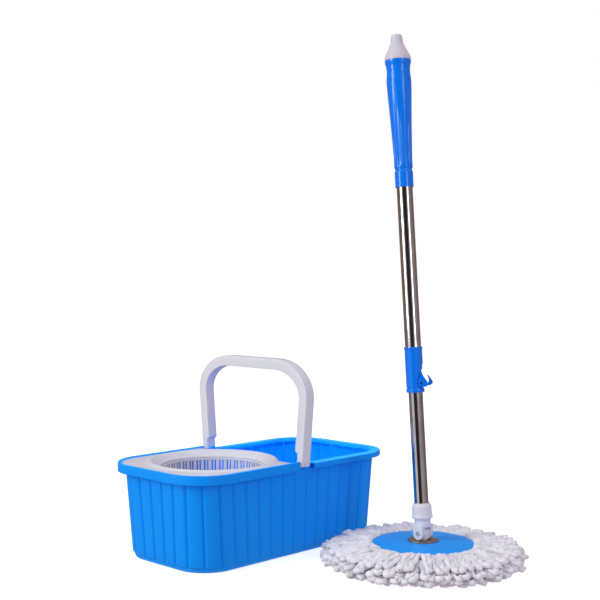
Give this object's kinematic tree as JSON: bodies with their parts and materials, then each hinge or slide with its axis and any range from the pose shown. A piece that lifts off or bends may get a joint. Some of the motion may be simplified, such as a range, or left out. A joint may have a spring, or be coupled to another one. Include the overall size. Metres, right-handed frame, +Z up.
{
  "type": "spin mop",
  "caption": "Spin mop: rectangular fluted bucket with a spinning wringer basket and bail handle, and a yarn mop on a tilting telescopic pole with a twisted-rod drive.",
  "frame": {"origin": "middle of the bucket's underside, on the floor", "axes": "+X along the bucket towards its open water end, +Y across the bucket away from the mop, +Z up"},
  "size_m": [0.473, 0.5739, 0.8267],
  "materials": {
    "bucket_blue": "moulded polypropylene, semi-gloss",
    "handle_blue": "moulded plastic, glossy",
    "white_plastic": "moulded plastic, satin",
    "chrome_tube": "polished stainless tube",
    "steel_fittings": "plain steel",
    "black_plastic": "moulded, matte",
    "mop_yarn": "looped microfibre yarn"
  },
  "bodies": {
    "bucket": {"bucket_tub": "bucket_blue", "basket_tray": "white_plastic", "basket_spindle": "steel_fittings", "thrust_washer": "steel_fittings"},
    "bail": {"bail_handle": "white_plastic", "bail_pin_near": "white_plastic", "bail_pin_far": "white_plastic"},
    "basket": {"spin_basket": "white_plastic", "basket_hub": "white_plastic"},
    "mop_head": {"mop_disc": "bucket_blue", "disc_washer": "steel_fittings", "stem_nut": "steel_fittings", "yarn_ring": "white_plastic", "yarn_mat": "mop_yarn", "tilt_knuckle": "white_plastic", "tilt_pin": "steel_fittings"},
    "lower_pole": {"pole_fork": "white_plastic", "coupling_nut": "white_plastic", "lower_tube": "chrome_tube", "clutch_housing": "black_plastic", "clutch_cap": "black_plastic"},
    "clutch_nut": {"drive_nut": "white_plastic"},
    "upper_pole": {"upper_tube": "chrome_tube", "twisted_rod": "steel_fittings", "rod_anchor": "black_plastic", "rod_stop": "steel_fittings", "handle_grip": "handle_blue", "grip_cap": "white_plastic", "lock_collar": "handle_blue", "lever_pin_left": "steel_fittings", "lever_pin_right": "steel_fittings"},
    "lever": {"lock_lever": "handle_blue"}
  },
  "joints": [
    {"name": "bail_swing", "type": "hinge", "parent": "bucket", "child": "bail", "pos_m": [0, 0, 0.147], "axis": [0, 1, 0], "range_deg": [-20, 58]},
    {"name": "basket_spin", "type": "hinge", "parent": "bucket", "child": "basket", "pos_m": [-0.0916, 0, 0.023], "axis": [0, 0, 1], "continuous": true},
    {"name": "mop_lift", "type": "slide", "parent": "bucket", "child": "mop_head", "axis": [0, 0, 1], "range_m": [0, 0.3]},
    {"name": "handle_tilt", "type": "hinge", "parent": "mop_head", "child": "lower_pole", "pos_m": [0.09, -0.286, 0.049], "axis": [1, 0, 0], "range_deg": [-30, 68]},
    {"name": "handle_slide", "type": "slide", "parent": "lower_pole", "child": "upper_pole", "axis": [0, 0.0715, 0.9974], "range_m": [-0.12, 0.25]},
    {"name": "nut_spin", "type": "hinge", "parent": "lower_pole", "child": "clutch_nut", "pos_m": [0.09, -0.286, 0.049], "axis": [0, 0.0715, 0.9974], "range_deg": [-901, 433]},
    {"name": "lever_close", "type": "hinge", "parent": "upper_pole", "child": "lever", "pos_m": [0.09541, -0.27481, 0.2818], "axis": [-0.712, -0.7004, 0.0502], "range_deg": [0, 26]}
  ],
  "couplings": [
    {"joint": "nut_spin", "follows": "handle_slide", "rad_per_m": -62.832}
  ]
}
